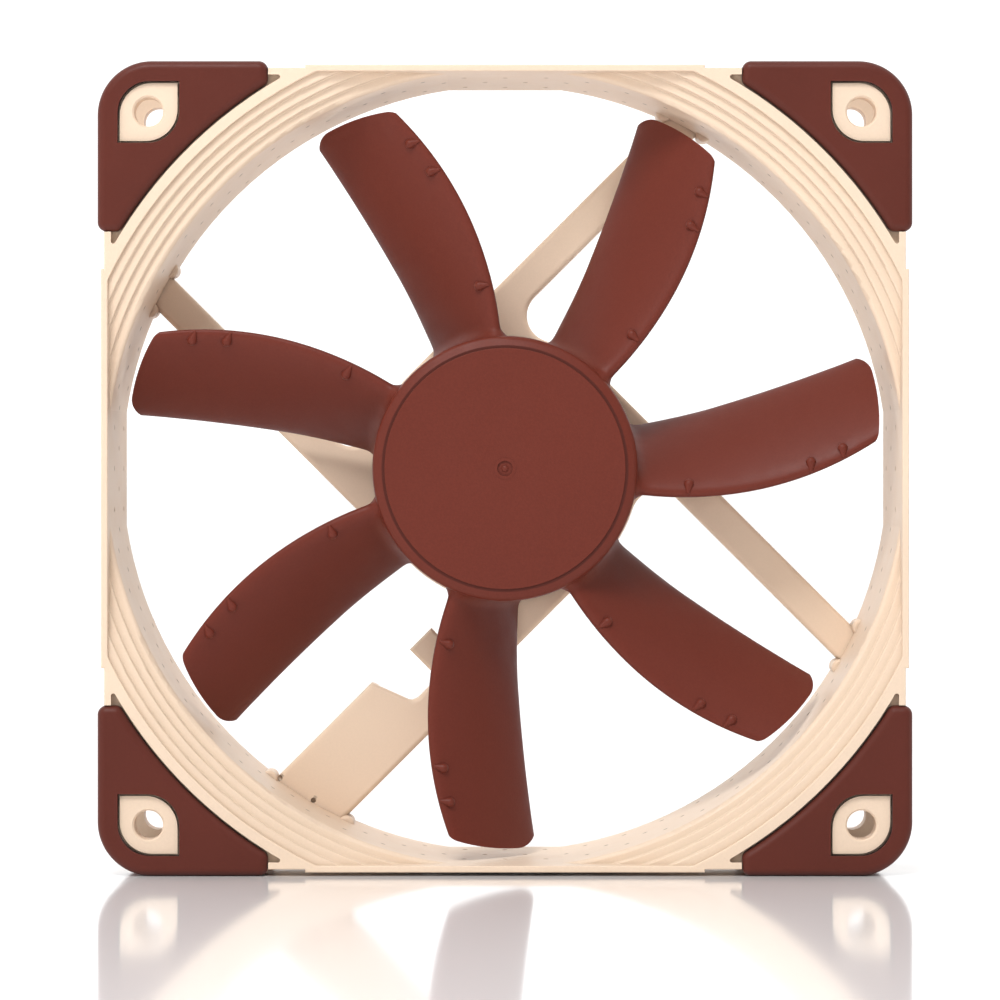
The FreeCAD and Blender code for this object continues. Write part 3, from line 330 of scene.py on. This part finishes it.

# Moulded plastics: colour, paler tone, size and height of the grain, roughness, share of painted highlight on
# the edges, painted shade marks
PLASTICS = {
    "frame": (CREAM, shade(CREAM, 1.1), 0.30 * MM, 0.010 * MM, 0.42, 0.30, duct_dimple_shade),
    "impeller": (BROWN, shade(BROWN, 1.35), 0.24 * MM, 0.020 * MM, 0.47, 0.25, hub_groove),
    "ferrite": ((0.05, 0.05, 0.055), (0.09, 0.09, 0.1), 0.12 * MM, 0.02 * MM, 0.6, 0.3, None),
    "seal": ((0.6, 0.58, 0.52), (0.7, 0.68, 0.6), 0.3 * MM, 0.005 * MM, 0.4, 0.2, None),
    "thrust_plastic": ((0.72, 0.7, 0.62), (0.8, 0.8, 0.7), 0.3 * MM, 0.004 * MM, 0.35, 0.2, None),
    "insulator": ((0.03, 0.03, 0.033), (0.06, 0.06, 0.06), 0.25 * MM, 0.01 * MM, 0.45, 0.3, None),
    "chip": ((0.02, 0.02, 0.022), (0.05, 0.05, 0.05), 0.1 * MM, 0.012 * MM, 0.55, 0.3, None),
    "capacitor": ((0.42, 0.28, 0.16), (0.5, 0.36, 0.22), 0.15 * MM, 0.006 * MM, 0.4, 0.2, None),
}

# Metals: colour, roughness, stretch of the grain along X, Y and Z, height of the grain
METALS = {
    "steel": ((0.55, 0.56, 0.58), 0.33, (1.0, 0.06, 1.0), 0.004 * MM),
    "hard_steel": ((0.62, 0.63, 0.65), 0.18, (1.0, 3.0, 1.0), 0.004 * MM),
    "clip": ((0.5, 0.5, 0.52), 0.3, (1.0, 1.0, 1.0), 0.004 * MM),
    "brass": ((0.72, 0.54, 0.25), 0.27, (1.0, 3.0, 1.0), 0.004 * MM),
    "bronze": ((0.46, 0.30, 0.15), 0.42, (1.0, 1.0, 1.0), 0.02 * MM),
    "magnet_nickel": ((0.66, 0.65, 0.61), 0.16, (1.0, 1.0, 1.0), 0.004 * MM),
}

# Finishes of their own: the function that makes each one, and its colour
OTHERS = {
    "pad": (silicone, PAD_BROWN),
    "core_steel": (laminations, (0.42, 0.42, 0.44)),
    "copper": (enamelled_wire, (0.62, 0.25, 0.10)),
    "board": (solder_mask, (0.02, 0.11, 0.045)),
    "label": (sticker, (0.74, 0.72, 0.67)),
}


def make_material(slot):
    name = "fan_" + slot
    if slot in PLASTICS:
        return moulded_plastic(name, *PLASTICS[slot])
    if slot in METALS:
        return metal(name, *METALS[slot])
    maker, colour = OTHERS[slot]
    return maker(name, colour)


def dress_frame():
    """Gives every CAD node the material of its slot."""
    made = {}
    for row in frame["record"]["subparts"]:
        slot = row["material_slot"]
        if slot not in made:
            made[slot] = make_material(slot)
        node = frame["nodes"][row["node"]]
        node.data.materials.clear()
        node.data.materials.append(made[slot])


# ---------------------------------------------------------------- stage, light, camera

def aim(thing, target):
    thing.rotation_euler = (Vector(target) - thing.location).to_track_quat("-Z", "Y").to_euler()


def soft_light(name, place, width, height, power, mirrored=True):
    lamp = bpy.data.lights.new(name, "AREA")
    lamp.shape = "RECTANGLE"
    lamp.size = width
    lamp.size_y = height
    lamp.energy = power
    thing = bpy.data.objects.new(name, lamp)
    thing.location = place
    thing.visible_glossy = mirrored
    aim(thing, (0.0, 0.0, 0.0))
    bpy.context.scene.collection.objects.link(thing)


def make_floor():
    """Pale glossy table the fan stands on."""
    corners = [(x * FLOOR_HALF, y * FLOOR_HALF, FLOOR_Z) for x, y in ((-1, -1), (1, -1), (1, 1), (-1, 1))]
    mesh = bpy.data.meshes.new("floor")
    mesh.from_pydata(corners, [], [(0, 1, 2, 3)])
    floor = bpy.data.objects.new("floor", mesh)
    bpy.context.scene.collection.objects.link(floor)
    material = bpy.data.materials.new("floor_gloss")
    material.use_nodes = True
    gloss = material.node_tree.nodes["Principled BSDF"]
    gloss.inputs["Base Color"].default_value = (0.94, 0.92, 0.92, 1.0)
    gloss.inputs["Roughness"].default_value = 0.09
    gloss.inputs["IOR"].default_value = 1.5
    mesh.materials.append(material)


def make_light():
    """White backdrop behind the fan, dimmer room before it, and soft boxes above, in front and to its left."""
    world = bpy.data.worlds.new("studio")
    world.use_nodes = True
    tree = world.node_tree
    heading = tree.nodes.new("ShaderNodeTexCoord").outputs["Generated"]
    split = tree.nodes.new("ShaderNodeSeparateXYZ")
    tree.links.new(heading, split.inputs["Vector"])
    fade = tree.nodes.new("ShaderNodeMapRange")
    fade.interpolation_type = "SMOOTHSTEP"
    lift = tree.nodes.new("ShaderNodeMath")
    lift.operation = "MULTIPLY_ADD"
    lift.inputs[1].default_value = CEILING_SHARE
    tree.links.new(split.outputs["Z"], lift.inputs[0])
    tree.links.new(split.outputs["Y"], lift.inputs[2])
    tree.links.new(lift.outputs["Value"], fade.inputs["Value"])
    set_range(fade, FADE_START, FADE_END, ROOM, BACKDROP)
    tree.links.new(fade.outputs["Result"], tree.nodes["Background"].inputs["Strength"])
    tree.nodes["Background"].inputs["Color"].default_value = (1.0, 1.0, 1.0, 1.0)
    bpy.context.scene.world = world
    soft_light("key", KEY_PLACE, 0.36, 0.28, KEY_W)
    soft_light("front_fill", FRONT_PLACE, 1.2, 1.2, FRONT_W, mirrored=False)
    soft_light("side_fill", SIDE_PLACE, 0.8, 0.8, SIDE_W)


def make_camera():
    data = bpy.data.cameras.new("camera")
    data.lens = LENS_MM
    data.sensor_width = SENSOR_MM
    data.sensor_fit = "HORIZONTAL"
    data.shift_x = SHIFT_X
    data.shift_y = SHIFT_Y
    data.clip_start = 0.01
    data.clip_end = 50.0
    camera = bpy.data.objects.new("camera", data)
    camera.location = (0.0, FRONT_Y - CAMERA_DISTANCE, 0.0)
    camera.rotation_euler = (math.radians(90), 0.0, 0.0)
    bpy.context.scene.collection.objects.link(camera)
    bpy.context.scene.camera = camera


dress_frame()
make_floor()
make_light()
make_camera()
bpy.context.scene.view_settings.view_transform = "Standard"
bpy.context.scene.view_settings.look = "None"
